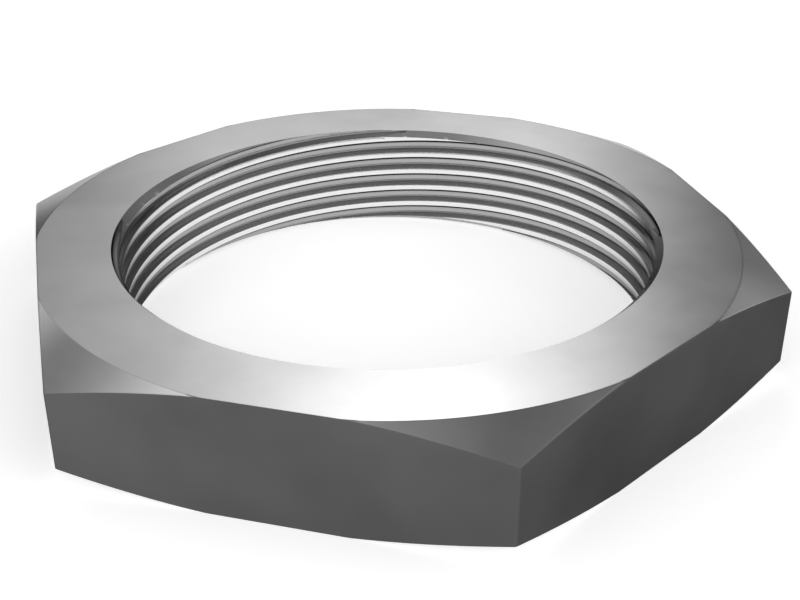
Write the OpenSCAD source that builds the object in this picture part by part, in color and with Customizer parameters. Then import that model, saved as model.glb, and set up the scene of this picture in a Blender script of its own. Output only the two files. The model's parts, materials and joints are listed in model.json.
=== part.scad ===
// Hex lock nut: a thin six-sided nut, turned and bored from one length of hexagon bar.
// Millimetres. The bore runs along Z, the lower face lies on z = 0,
// and two opposite corners of the hexagon point along X.

/* [Hexagon] */
// Width across opposite flats, which is the size of the spanner
across_flats = 75; // [68:0.5:90]
// Thickness from the lower face to the upper face
thickness = 12.5; // [8:0.1:25]

/* [Corner chamfers] */
// Height that the turned chamfer takes off each corner, at either face
corner_drop = 2.15; // [0.8:0.05:3]
// Slope of the corner chamfer, in degrees from the face
corner_slope = 22.4; // [15:0.1:35]

/* [Threaded bore] */
// Diameter of the bore over the crests of its thread
bore_d = 58.2; // [48:0.1:59]
// Width of the countersink ring at each end of the bore, seen along the axis
countersink_w = 0.8; // [0.4:0.05:2]
// Slope of the countersink, in degrees from the face
countersink_slope = 40; // [20:1:60]

/* [Hidden] */
$fn = 180;

// Reach of a cut past the surface that it opens
cut_margin = 1;

// Radius of the hexagon's corners, before the chamfer
corner_r = across_flats / sqrt(3);
// Radius of the circle that the chamfer leaves on each face. It is a little
// larger than half the width across flats, so each flat touches both faces.
face_r = corner_r - corner_drop / tan(corner_slope);
// Rim of the turned blank, just outside the corners so that only its slopes cut
rim_r = corner_r + cut_margin;
rim_drop = (rim_r - face_r) * tan(corner_slope);

bore_r = bore_d / 2;
mouth_r = bore_r + countersink_w;
countersink_h = countersink_w * tan(countersink_slope);
// Radius that a countersink's slope reaches at cut_margin outside the face
mouth_outer_r = mouth_r + cut_margin / tan(countersink_slope);

// Six-sided bar, cut to the nut's thickness
module hexagon_bar() {
    linear_extrude(thickness)
        circle(r = corner_r, $fn = 6);
}

// Turned disc whose sloping rims take the bar's corners off at both faces.
// Where a slope meets a flat of the bar, it leaves the nut's curved edge.
module turned_disc() {
    rotate_extrude()
        polygon([
            [0, 0],
            [face_r, 0],
            [rim_r, rim_drop],
            [rim_r, thickness - rim_drop],
            [face_r, thickness],
            [0, thickness]
        ]);
}

// Space of the bore with its two countersinks
module bore_space() {
    rotate_extrude()
        polygon([
            [0, -cut_margin],
            [mouth_outer_r, -cut_margin],
            [bore_r, countersink_h],
            [bore_r, thickness - countersink_h],
            [mouth_outer_r, thickness + cut_margin],
            [0, thickness + cut_margin]
        ]);
}

// The whole nut. Its fine thread is cut into the bore's wall and isn't modelled here.
module lock_nut() {
    color("#9a9c9e")
        difference() {
            intersection() {
                hexagon_bar();
                turned_disc();
            }
            bore_space();
        }
}

lock_nut();
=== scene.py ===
"""Looks of a hex lock nut: its cut thread, turned faces and drawn flats, in a plain studio.

Everything is in metres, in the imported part's own frame: the bore runs along Z, the lower face lies
on z = 0, and two opposite corners of the hexagon point along X. A value times MM is written in
millimetres.
"""

import json
from math import radians

import bmesh
import bpy
import numpy as np
from mathutils import Matrix, Vector


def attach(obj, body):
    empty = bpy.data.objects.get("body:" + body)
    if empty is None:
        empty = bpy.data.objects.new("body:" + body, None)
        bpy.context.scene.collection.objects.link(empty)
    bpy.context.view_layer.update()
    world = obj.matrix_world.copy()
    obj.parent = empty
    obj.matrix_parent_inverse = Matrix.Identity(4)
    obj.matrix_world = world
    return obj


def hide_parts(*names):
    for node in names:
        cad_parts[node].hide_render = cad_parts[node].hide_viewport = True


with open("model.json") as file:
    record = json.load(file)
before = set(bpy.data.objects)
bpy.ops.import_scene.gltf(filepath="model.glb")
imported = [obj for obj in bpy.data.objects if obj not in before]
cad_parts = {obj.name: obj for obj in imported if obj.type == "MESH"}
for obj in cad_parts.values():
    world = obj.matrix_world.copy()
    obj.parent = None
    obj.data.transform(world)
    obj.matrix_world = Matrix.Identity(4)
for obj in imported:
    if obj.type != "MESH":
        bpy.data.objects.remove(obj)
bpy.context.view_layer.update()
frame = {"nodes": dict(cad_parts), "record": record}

MM = 0.001
FULL_TURN = 2 * np.pi
# Points nearer to each other than this count as one
TOUCHING = 0.001 * MM


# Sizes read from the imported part

def solid_sizes(node, bore_mount):
    """The nut's driving sizes, read from the corners of its solid and from its bore's mount."""
    solid = frame["nodes"][node]
    points = np.empty(3 * len(solid.data.vertices))
    solid.data.vertices.foreach_get("co", points)
    x, y, z = points.reshape(-1, 3).T
    radius = np.hypot(x, y)
    on_top = radius[z > z.max() - TOUCHING]
    at_corner = z[radius > radius.max() - TOUCHING]
    wall = next(m["dims"] for m in frame["record"]["mounts"] if m["name"] == bore_mount)
    return {
        "thickness": float(z.max()),
        "flat_r": float(y.max()),
        "corner_r": float(radius.max()),
        "corner_drop": float(z.max() - at_corner.max()),
        "face_r": float(on_top.max()),
        "mouth_r": float(on_top.min()),
        "crest_r": wall["r_mm"] * MM,
        "countersink_h": (float(z.max()) - wall["length_mm"] * MM) / 2,
    }


NUT = solid_sizes("lock_nut", "threaded_bore")

# Angle that one of the hexagon's sides takes up, seen from the axis, and half of it
SIDES = 6
SIDE_TURN = FULL_TURN / SIDES
HALF_SIDE_TURN = SIDE_TURN / 2

# The thread, 11 to the inch with 55 degree flanks. The pictured lines climb four pitches in a turn
# and fall anticlockwise seen from above, so four left-hand ridges run side by side. A standard nut
# has STARTS = 1 and HAND = 1.
PITCH = 2.309 * MM
STARTS = 4
HAND = -1
FLANK_SLOPE = np.tan(radians(27.5))
ROOT_R = 29.88 * MM
ROOT_ROUND = 0.3 * MM
CREST_ROUND = 0.08 * MM
CREST_FLAT = 0.64 * MM
# Direction, seen from above, in which the middle of a crest meets the upper face
CREST_TURN = radians(9.4)

# Small roundings that every cut edge has, and half the width of the crease round each face
EDGE_ROUND = 0.05 * MM
CORNER_ROUND = 0.3 * MM
CREASE = 0.02 * MM
# Distance to the extra rows that keep flat faces flat beside a rounding
HOLD = 0.15 * MM

# Steps round the nut, the further ones across a corner's arc as shares of half its angle, and the
# decimals to which their angles are rounded so that no two are nearly alike
STEPS_PER_TURN = 600
CORNER_STEPS = np.array([-2, -1, -0.5, 0.5, 1, 2])
ANGLE_DECIMALS = 9
# Points along the thread's crest and root arcs, and along the arc at a flat's edge
CREST_POINTS = 3
ROOT_POINTS = 4
EDGE_POINTS = 5
# Rows over a face and over its chamfer, and across the crease as shares of its half width
FACE_ROWS = 3
CHAMFER_ROWS = 2
CREASE_ROWS = np.array([-1 - HOLD / CREASE, -1, -0.33, 0.33, 1, 1 + HOLD / CREASE])
# Squares that meet at more than this angle have a sharp edge between them
SHARP_ANGLE = radians(28)

# Attribute that holds each point's place in its pitch
THREAD_LOOP = "thread_loop"
# Numbers of the finishes on the nut's skin
TURNED, DRAWN, CUT = 0, 1, 2


# Shape of the nut

def thread_section():
    """One pitch of the thread, from crest to crest: heights above the first crest, and radii.

    From the crest's flat a small arc turns into the straight flank, and a larger arc turns that
    into the root's flat. The second half of the pitch mirrors the first.
    """
    bend = np.arctan(1 / FLANK_SLOPE)
    depth = ROOT_R - NUT["crest_r"]
    crest_angles = np.linspace(0, bend, CREST_POINTS)
    root_angles = np.linspace(bend, 0, ROOT_POINTS)
    # An arc touches the flat and the flank at this share of its radius from their sharp corner
    reach = np.tan(bend / 2)
    crest_u = CREST_FLAT / 2 + CREST_ROUND * (np.sin(crest_angles) - reach)
    crest_r = NUT["crest_r"] + CREST_ROUND * (1 - np.cos(crest_angles))
    root_u = CREST_FLAT / 2 + depth * FLANK_SLOPE + ROOT_ROUND * (reach - np.sin(root_angles))
    root_r = ROOT_R - ROOT_ROUND * (1 - np.cos(root_angles))
    flank_u = (crest_u[-1] + root_u[0]) / 2
    flank_r = (crest_r[-1] + root_r[0]) / 2
    half_u = np.concatenate([[0], crest_u, [flank_u], root_u, [PITCH / 2]])
    half_r = np.concatenate([[NUT["crest_r"]], crest_r, [flank_r], root_r, [ROOT_R]])
    u = np.concatenate([half_u, PITCH - half_u[-2:0:-1]])
    r = np.concatenate([half_r, half_r[-2:0:-1]])
    return u, r


def bore_rows(turn):
    """The bore's wall, one row a line of the thread and one column a turn angle: heights, radii,
    which points lie on a countersink, and each row's place in its pitch.

    A row keeps to its place on the thread's section and climbs with the helix, so crests and roots
    stay crisp. Where a countersink's cone lies further out than the thread, the row moves out to
    the cone, and the row nearest to where they cross moves on to the crossing. Past a face, rows
    end on the rim.
    """
    section_u, section_r = thread_section()
    lead = HAND * STARTS * PITCH
    crest_z = NUT["thickness"] + lead * (turn - CREST_TURN) / FULL_TURN
    lowest = int(np.floor(-crest_z.max() / PITCH)) - 1
    highest = int(np.ceil((NUT["thickness"] - crest_z.min()) / PITCH)) + 1
    pitches = np.arange(lowest, highest)
    row_z = (pitches[:, None] * PITCH + section_u[None, :]).ravel()
    z = crest_z[None, :] + row_z[:, None]
    thread_r = np.repeat(np.tile(section_r, len(pitches))[:, None], len(turn), axis=1)

    cone_run = (NUT["mouth_r"] - NUT["crest_r"]) / NUT["countersink_h"]

    def cone_r(height):
        return NUT["mouth_r"] - cone_run * np.minimum(height, NUT["thickness"] - height)

    outside = thread_r - cone_r(z)
    r = np.maximum(thread_r, cone_r(z))
    crossing = outside[:-1] * outside[1:] < 0
    change = np.where(crossing, outside[:-1] - outside[1:], 1)
    share = np.where(crossing, outside[:-1] / change, 0)
    crossing_z = z[:-1] + share * (z[1:] - z[:-1])
    below = crossing & (share < 0.5)
    above = crossing & (share >= 0.5)
    z[:-1][below] = crossing_z[below]
    r[:-1][below] = cone_r(crossing_z[below])
    z[1:][above] = crossing_z[above]
    r[1:][above] = cone_r(crossing_z[above])

    r = np.where((z < 0) | (z > NUT["thickness"]), NUT["mouth_r"], r)
    z = np.clip(z, 0, NUT["thickness"])
    on_cone = r - cone_r(z) < TOUCHING
    return z, r, on_cone, thread_loop(row_z)


def thread_loop(row_z):
    """Each row's place in its pitch, as a point on a circle that is one pitch long. Marks drawn on
    it run along the thread, and meet where the ring closes four ridges further on."""
    angle = FULL_TURN * row_z / PITCH
    return np.stack([np.cos(angle), np.sin(angle), 0 * angle], axis=-1) * PITCH / FULL_TURN


def hexagon_radius(turn):
    """Distance from the axis to the hexagon's side: straight sides, and an arc at each corner."""
    away = np.abs((turn + HALF_SIDE_TURN) % SIDE_TURN - HALF_SIDE_TURN)
    side = NUT["flat_r"] / np.cos(HALF_SIDE_TURN - away)
    centre = corner_arc_centre()
    half_chord = np.sqrt(np.maximum(CORNER_ROUND**2 - (centre * np.sin(away))**2, 0))
    arc = centre * np.cos(away) + half_chord
    return np.where(away < corner_arc_half(), arc, side)


def corner_arc_centre():
    """Distance from the axis to the middle of a corner's arc."""
    return (NUT["flat_r"] - CORNER_ROUND) / np.cos(HALF_SIDE_TURN)


def corner_arc_half():
    """Half of the angle that a corner's arc takes up, seen from the axis."""
    along = corner_arc_centre() + CORNER_ROUND * np.cos(HALF_SIDE_TURN)
    return np.arctan2(CORNER_ROUND / 2, along)


def turn_angles():
    """Even steps round the nut, with a few more across each corner's arc."""
    even = np.linspace(0, FULL_TURN, STEPS_PER_TURN + 1)
    across = corner_arc_half() * CORNER_STEPS
    corners = (np.arange(SIDES + 1)[:, None] * SIDE_TURN + across).ravel()
    corners = corners[(corners > 0) & (corners < FULL_TURN)]
    return np.unique(np.round(np.concatenate([even, corners]), ANGLE_DECIMALS))


def outer_rows(turn):
    """Heights and radii from the upper rim, over the face and chamfer, to the middle of the flats,
    and the number of rows that are turned.

    Over the face the height is the thickness, less the chamfer's slope past its circle, with a
    short parabola in the crease between them. At the flat's edge a quarter circle turns it down.
    That quarter circle has the flats' finish.
    """
    side_r = hexagon_radius(turn)
    slope = NUT["corner_drop"] / (NUT["corner_r"] - NUT["face_r"])

    def height(radius):
        past = radius - NUT["face_r"]
        parabola = (past + CREASE)**2 / (4 * CREASE)
        drop = np.where(past < -CREASE, 0, np.where(past > CREASE, past, parabola))
        return NUT["thickness"] - slope * drop

    last = side_r - EDGE_ROUND - HOLD
    face = np.linspace(NUT["mouth_r"], NUT["face_r"], FACE_ROWS + 1)[:-1]
    crease = NUT["face_r"] + CREASE * CREASE_ROWS
    rings = np.concatenate([[face[0], face[0] + HOLD], face[1:], crease])
    shares = np.arange(1, CHAMFER_ROWS + 1)[:, None] / (CHAMFER_ROWS + 1)
    chamfer = crease[-1] + shares * np.maximum(last - crease[-1], 0)[None, :]
    rings = np.repeat(rings[:, None], len(turn), axis=1)
    top_r = np.minimum(np.concatenate([rings, chamfer]), last)
    top_r = np.concatenate([top_r, last[None, :]])
    top_z = height(top_r)

    angles = np.linspace(0, np.pi / 2, EDGE_POINTS)[:, None]
    edge_r = side_r[None, :] - EDGE_ROUND * (1 - np.sin(angles))
    edge_z = height(edge_r) - EDGE_ROUND * (1 - np.cos(angles))
    flat_z = np.stack([edge_z[-1] - HOLD, NUT["thickness"] / 2 + 0 * turn])
    flat_r = np.stack([side_r, side_r])
    z = np.concatenate([top_z, edge_z, flat_z])
    r = np.concatenate([top_r, edge_r, flat_r])
    return z, r, len(top_z) + 1


def closed_ring(name, z, r, turn, loop_of_row, finish_of_square, finishes):
    """A mesh from a closed section carried round the axis: rows run along the section and columns
    round it, and finish_of_square gives each square's number in finishes. Points that fall
    together are merged, so the seam and the rows that end on a rim are closed."""
    x = r * np.cos(turn)
    y = r * np.sin(turn)
    points = np.stack([x, y, z], axis=-1).reshape(-1, 3)
    rows, columns = z.shape
    row = np.arange(rows)[:, None]
    column = np.arange(columns - 1)[None, :]
    here = row * columns + column
    above = (row + 1) % rows * columns + column
    squares = np.stack([here, above, above + 1, here + 1], axis=-1).reshape(-1, 4)

    mesh = bpy.data.meshes.new(name)
    mesh.vertices.add(len(points))
    mesh.vertices.foreach_set("co", points.ravel())
    mesh.loops.add(squares.size)
    mesh.loops.foreach_set("vertex_index", squares.ravel())
    mesh.polygons.add(len(squares))
    mesh.polygons.foreach_set("loop_start", np.arange(0, squares.size, 4))
    mesh.polygons.foreach_set("material_index", finish_of_square.ravel())
    mesh.update(calc_edges=True)
    loop = mesh.attributes.new(THREAD_LOOP, "FLOAT_VECTOR", "POINT")
    loop.data.foreach_set("vector", np.repeat(loop_of_row, columns, axis=0).ravel())
    for finish in finishes:
        mesh.materials.append(finish)

    work = bmesh.new()
    work.from_mesh(mesh)
    bmesh.ops.remove_doubles(work, verts=work.verts, dist=TOUCHING)
    bmesh.ops.recalc_face_normals(work, faces=work.faces)
    work.to_mesh(mesh)
    work.free()
    mesh.shade_smooth()
    mesh.set_sharp_from_angle(angle=SHARP_ANGLE)
    return mesh


def make_nut(turned, drawn, cut):
    """The whole nut as one closed skin: up the bore, out over the upper face, down the flats, and
    in under the lower face, which mirrors the upper one."""
    turn = turn_angles()
    bore_z, bore_r, on_cone, bore_loop = bore_rows(turn)
    upper_z, upper_r, turned_rows = outer_rows(turn)
    z = np.concatenate([bore_z, upper_z[1:], NUT["thickness"] - upper_z[-2:0:-1]])
    r = np.concatenate([bore_r, upper_r[1:], upper_r[-2:0:-1]])
    loop = np.concatenate([bore_loop, np.zeros((len(z) - len(bore_z), 3))])

    # The countersinks are turned as the faces are. Their squares have all four corners on the cone.
    cone_row = on_cone[:-1] & on_cone[1:]
    cone_square = cone_row[:, :-1] & cone_row[:, 1:]
    first_drawn = len(bore_z) + turned_rows - 2
    past_drawn = len(z) - turned_rows + 1
    finish = np.full((len(z), len(turn) - 1), TURNED, dtype=np.int32)
    finish[:len(bore_z) - 1] = np.where(cone_square, TURNED, CUT)
    finish[first_drawn:past_drawn] = DRAWN
    mesh = closed_ring("lock_nut_finished", z, r, turn, loop, finish, [turned, drawn, cut])
    nut = bpy.data.objects.new("lock_nut_finished", mesh)
    bpy.context.scene.collection.objects.link(nut)
    return nut


# Materials

# Real tool marks lie about 0.1 mm apart. They are too fine to show, so they are drawn three to five
# times coarser.
RING_WIDTH = 0.35 * MM
RING_LENGTH = 14 * MM
DRAW_WIDTH = 0.5 * MM
DRAW_LENGTH = 25 * MM
CUT_WIDTH = 0.3 * MM
CUT_LENGTH = 6 * MM
# Levels of detail in the noise of the clouds and of the marks
CLOUD_DETAIL = 3.0
MARK_DETAIL = 2.0


def linear(hex_colour):
    """An sRGB hex colour as linear RGBA."""
    srgb = np.array([int(hex_colour[i:i + 2], 16) for i in (1, 3, 5)]) / 255
    rgb = np.where(srgb <= 0.04045, srgb / 12.92, ((srgb + 0.055) / 1.055)**2.4)
    return (*rgb.tolist(), 1.0)


def add(tree, kind, inputs=None, **settings):
    """Adds a node. settings are its properties, and inputs its sockets' values or their links."""
    node = tree.nodes.new(kind)
    for name, value in settings.items():
        setattr(node, name, value)
    for name, value in (inputs or {}).items():
        socket = node.inputs[name]
        if isinstance(value, bpy.types.NodeSocket):
            tree.links.new(value, socket)
        else:
            socket.default_value = value
    return node


def new_material(name):
    """An empty node material and its tree."""
    material = bpy.data.materials.new(name)
    material.use_nodes = True
    material.node_tree.nodes.clear()
    return material, material.node_tree


def steel(name, marks, mark_depth, stops, across, edge_tint, roughness, cloud_size, cloud_gloss):
    """Plain carbon steel, with a tool's marks as fine bumps and slow clouds that change its gloss.

    marks(tree, place) gives the point at which the marks' noise is read. across(tree, cloud) gives
    a number from 0 to 1, and stops are the colours along it. edge_tint is the share of a clean
    metal's gloss that is left at low angles. cloud_gloss is what a cloud adds to roughness."""
    material, tree = new_material(name)
    place = add(tree, "ShaderNodeTexCoord").outputs["Object"]
    cloud = add(tree, "ShaderNodeTexNoise", {
        "Vector": place, "Scale": 1 / cloud_size, "Detail": CLOUD_DETAIL}).outputs["Fac"]
    ramp = add(tree, "ShaderNodeValToRGB", {"Fac": across(tree, cloud)})
    elements = ramp.color_ramp.elements
    # A new ramp has two elements, which become the first stop and the last
    for element, position in zip(list(elements), (stops[0][0], stops[-1][0])):
        element.position = position
    for position, _ in stops[1:-1]:
        elements.new(position)
    for element, (_, colour) in zip(elements, stops):
        element.color = linear(colour)

    grain = add(tree, "ShaderNodeTexNoise", {
        "Vector": marks(tree, place), "Scale": 1.0, "Detail": MARK_DETAIL})
    bump = add(tree, "ShaderNodeBump", {"Height": grain.outputs["Fac"], "Distance": mark_depth})
    gloss = add(tree, "ShaderNodeMath", {0: cloud, 1: cloud_gloss, 2: roughness - cloud_gloss / 2},
                operation="MULTIPLY_ADD")
    shader = add(tree, "ShaderNodeBsdfPrincipled", {
        "Base Color": ramp.outputs["Color"], "Metallic": 1.0, "Roughness": gloss.outputs[0],
        "Specular Tint": (edge_tint, edge_tint, edge_tint, 1), "Normal": bump.outputs["Normal"]})
    add(tree, "ShaderNodeOutputMaterial", {"Surface": shader.outputs["BSDF"]})
    return material


def ring_marks(tree, place):
    """Rings round the axis, which differ slowly round the nut: the radius in ring widths, plus the
    place in much longer steps."""
    flat = add(tree, "ShaderNodeVectorMath", {0: place, 1: (1, 1, 0)}, operation="MULTIPLY")
    radius = add(tree, "ShaderNodeVectorMath", {0: flat.outputs[0]}, operation="LENGTH")
    rings = add(tree, "ShaderNodeMath", {0: radius.outputs["Value"], 1: 1 / RING_WIDTH},
                operation="MULTIPLY")
    along = (1 / RING_LENGTH,) * 3
    return add(tree, "ShaderNodeVectorMath", {0: place, 1: along, 2: rings.outputs[0]},
               operation="MULTIPLY_ADD").outputs[0]


def draw_marks(tree, place):
    """Lines along the bar: the place in line widths across it and in line lengths along it."""
    scale = (1 / DRAW_WIDTH, 1 / DRAW_WIDTH, 1 / DRAW_LENGTH)
    return add(tree, "ShaderNodeVectorMath", {0: place, 1: scale}, operation="MULTIPLY").outputs[0]


def thread_marks(tree, place):
    """Lines along the thread: the place in the pitch in line widths, plus the place in line
    lengths."""
    loop = add(tree, "ShaderNodeAttribute", attribute_name=THREAD_LOOP).outputs["Vector"]
    across = (1 / CUT_WIDTH,) * 3
    along = (1 / CUT_LENGTH,) * 3
    lines = add(tree, "ShaderNodeVectorMath", {0: loop, 1: across}, operation="MULTIPLY")
    return add(tree, "ShaderNodeVectorMath", {0: place, 1: along, 2: lines.outputs[0]},
               operation="MULTIPLY_ADD").outputs[0]


def by_cloud(tree, cloud):
    """The clouds themselves."""
    return cloud


def by_ridge(tree, cloud):
    """0 in the middle of a root and 1 in the middle of a crest, from the pitch's circle."""
    loop = add(tree, "ShaderNodeAttribute", attribute_name=THREAD_LOOP).outputs["Vector"]
    # The circle is PITCH / pi across, with crests at its +X end and roots at its -X end
    scale = np.pi / PITCH
    share = add(tree, "ShaderNodeVectorMath", {0: loop, 1: (scale, 0, 0), 2: (0.5, 0, 0)},
                operation="MULTIPLY_ADD")
    return add(tree, "ShaderNodeSeparateXYZ", {0: share.outputs[0]}).outputs["X"]


# Bright turned steel: a lathe tool faced the nut and cut its chamfers in one fine feed. It gives a
# clear, slightly soft mirror with barely visible rings round the bore.
turned_steel = steel(
    "turned_steel", ring_marks, mark_depth=0.0004 * MM,
    stops=[(0.3, "#c2c2c2"), (0.7, "#d0d0d0")], across=by_cloud,
    edge_tint=0.6, roughness=0.22, cloud_size=9 * MM, cloud_gloss=0.08)
# Dark drawn steel: the flats still carry the bar's skin, which rolling and drawing left dark, dull
# and lined along its length. Its dark colour is partly that skin and partly painted shade, standing
# in for darker surroundings mirrored in the flats. Being an oxide, it doesn't brighten at low angles
# as clean steel does.
drawn_steel_and_painted_shade = steel(
    "drawn_steel_and_painted_shade", draw_marks, mark_depth=0.001 * MM,
    stops=[(0.3, "#525252"), (0.7, "#606060")], across=by_cloud,
    edge_tint=0.3, roughness=0.34, cloud_size=16 * MM, cloud_gloss=0.1)
# Thread-cut steel: the tool burnished the crests bright, and dark cutting oil stayed on the flanks,
# thinner in the roots and thickest in the corners between them. Its film dulls the gloss at low
# angles. Fine lines follow the thread. The colours along each ridge are partly painted light too:
# the crests' bright stop is a painted reflection, and the dark band in the corners beside the roots
# is painted shade.
cut_steel_painted_highlight_and_shade = steel(
    "cut_steel_painted_highlight_and_shade", thread_marks, mark_depth=0.001 * MM,
    stops=[(0.0, "#b0b0b0"), (0.11, "#a8a8a8"), (0.2, "#6c6c6c"), (0.33, "#6c6c6c"),
           (0.42, "#a0a0a0"), (0.76, "#a0a0a0"), (0.86, "#f0f0f0")], across=by_ridge,
    edge_tint=0.1, roughness=0.2, cloud_size=7 * MM, cloud_gloss=0.12)

nut = make_nut(turned_steel, drawn_steel_and_painted_shade, cut_steel_painted_highlight_and_shade)
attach(nut, "root")
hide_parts("lock_nut")


# Studio

# Half of the floor's side, in metres
FLOOR_HALF = 20.0
# Share of the floor's white that shadows don't touch, where 1 is white
FLOOR_OWN_WHITE = 0.4
# Level of the room between its lights, where 1 is white
ROOM_STRENGTH = 0.1
# Each soft light's azimuth, elevation and spread in degrees, and its strength, where 1 is white.
# The first seventeen were fitted to the photograph's shading and then adjusted. The last ten are
# wide and were set one by one: they light the flats and the middle of the thread, and make the nut
# read well from behind.
SOFT_LIGHTS = [
    (14, 10, 5, 0.20), (5, 21, 5, 0.25), (38, 21, 4, 1.15), (45, 21, 4, 0.55), (53, 21, 4, 1.10),
    (-4, 26, 5, 0.60), (41, 26, 5, 0.14), (68, 26, 5, 0.43), (86, 26, 5, 0.95),
    (41, 31, 5, 0.36), (59, 31, 5, 0.36), (41, 37, 5, 2.30), (50, 37, 5, 1.20),
    (-22, 55, 7.5, 0.19), (90, 55, 7.5, 0.94), (104, 67, 7.5, 1.00), (45, 82, 10, 0.20),
    (135, 18, 16, 0.6), (170, 18, 16, 0.8), (205, 18, 16, 0.6), (240, 18, 16, 1.0),
    (275, 18, 16, 1.1), (310, 18, 16, 1.6),
    (175, 38, 16, 0.8), (210, 38, 16, 0.8), (245, 38, 16, 0.8), (280, 38, 16, 0.8),
]


def make_floor():
    """A large white floor under the nut. Part of its white is its own, so shadows stay light."""
    mesh = bpy.data.meshes.new("floor")
    mesh.from_pydata([
        (-FLOOR_HALF, -FLOOR_HALF, 0), (FLOOR_HALF, -FLOOR_HALF, 0),
        (FLOOR_HALF, FLOOR_HALF, 0), (-FLOOR_HALF, FLOOR_HALF, 0)], [], [(0, 1, 2, 3)])
    floor = bpy.data.objects.new("floor", mesh)
    bpy.context.scene.collection.objects.link(floor)
    material, tree = new_material("floor_white")
    ray = add(tree, "ShaderNodeLightPath").outputs
    seen = add(tree, "ShaderNodeMath", {0: ray["Is Camera Ray"], 1: ray["Is Glossy Ray"]},
               operation="MAXIMUM")
    seen = add(tree, "ShaderNodeMath", {0: seen.outputs[0], 1: ray["Is Transmission Ray"]},
               operation="MAXIMUM")
    own_white = add(tree, "ShaderNodeMath", {0: seen.outputs[0], 1: FLOOR_OWN_WHITE},
                    operation="MULTIPLY")
    shader = add(tree, "ShaderNodeBsdfPrincipled", {
        "Base Color": linear("#f2f2f2"), "Roughness": 0.9, "Specular IOR Level": 0.0,
        "Emission Color": (1, 1, 1, 1), "Emission Strength": own_white.outputs[0]})
    add(tree, "ShaderNodeOutputMaterial", {"Surface": shader.outputs["BSDF"]})
    mesh.materials.append(material)


def make_sky():
    """A dark room with soft lights: each adds its strength times e to the power (cos a - 1) /
    spread squared, where a is the angle from its middle and spread is in radians."""
    world = bpy.data.worlds.new("studio")
    bpy.context.scene.world = world
    world.use_nodes = True
    tree = world.node_tree
    tree.nodes.clear()
    direction = add(tree, "ShaderNodeTexCoord").outputs["Generated"]
    total = ROOM_STRENGTH
    for azimuth, elevation, spread, strength in np.array(SOFT_LIGHTS):
        azimuth, elevation, spread = np.radians([azimuth, elevation, spread])
        level = np.cos(elevation)
        middle = (level * np.cos(azimuth), level * np.sin(azimuth), np.sin(elevation))
        cosine = add(tree, "ShaderNodeVectorMath", {0: direction, 1: middle},
                     operation="DOT_PRODUCT")
        power = add(tree, "ShaderNodeMath", {
            0: cosine.outputs["Value"], 1: spread**-2, 2: -spread**-2}, operation="MULTIPLY_ADD")
        lobe = add(tree, "ShaderNodeMath", {0: power.outputs[0]}, operation="EXPONENT")
        total = add(tree, "ShaderNodeMath", {0: lobe.outputs[0], 1: strength, 2: total},
                    operation="MULTIPLY_ADD").outputs[0]
    sky = add(tree, "ShaderNodeBackground", {"Color": (1, 1, 1, 1), "Strength": total})
    add(tree, "ShaderNodeOutputWorld", {"Surface": sky.outputs["Background"]})


make_floor()
make_sky()


# Camera, at the photograph's place: worked out from the hexagon's corners and the bore's circles

CAMERA_PLACE = Vector((-88.16, -90.08, 71.63)) * MM
CAMERA_RIGHT = Vector((0.70707, -0.70714, -0.00012))
CAMERA_FORWARD = Vector((0.62179, 0.62181, -0.47617))
FOCAL_PIXELS = 1261.9
PHOTO_WIDTH = 800

camera_data = bpy.data.cameras.new("camera")
camera = bpy.data.objects.new("camera", camera_data)
bpy.context.scene.collection.objects.link(camera)
camera_data.lens = FOCAL_PIXELS / PHOTO_WIDTH * camera_data.sensor_width
camera_data.clip_start = 1 * MM
forward = CAMERA_FORWARD.normalized()
right = (CAMERA_RIGHT - forward * CAMERA_RIGHT.dot(forward)).normalized()
up = right.cross(forward)
facing = Matrix((right, up, -forward)).transposed().to_4x4()
camera.matrix_world = Matrix.Translation(CAMERA_PLACE) @ facing
bpy.context.scene.camera = camera

bpy.context.scene.view_settings.view_transform = "Standard"
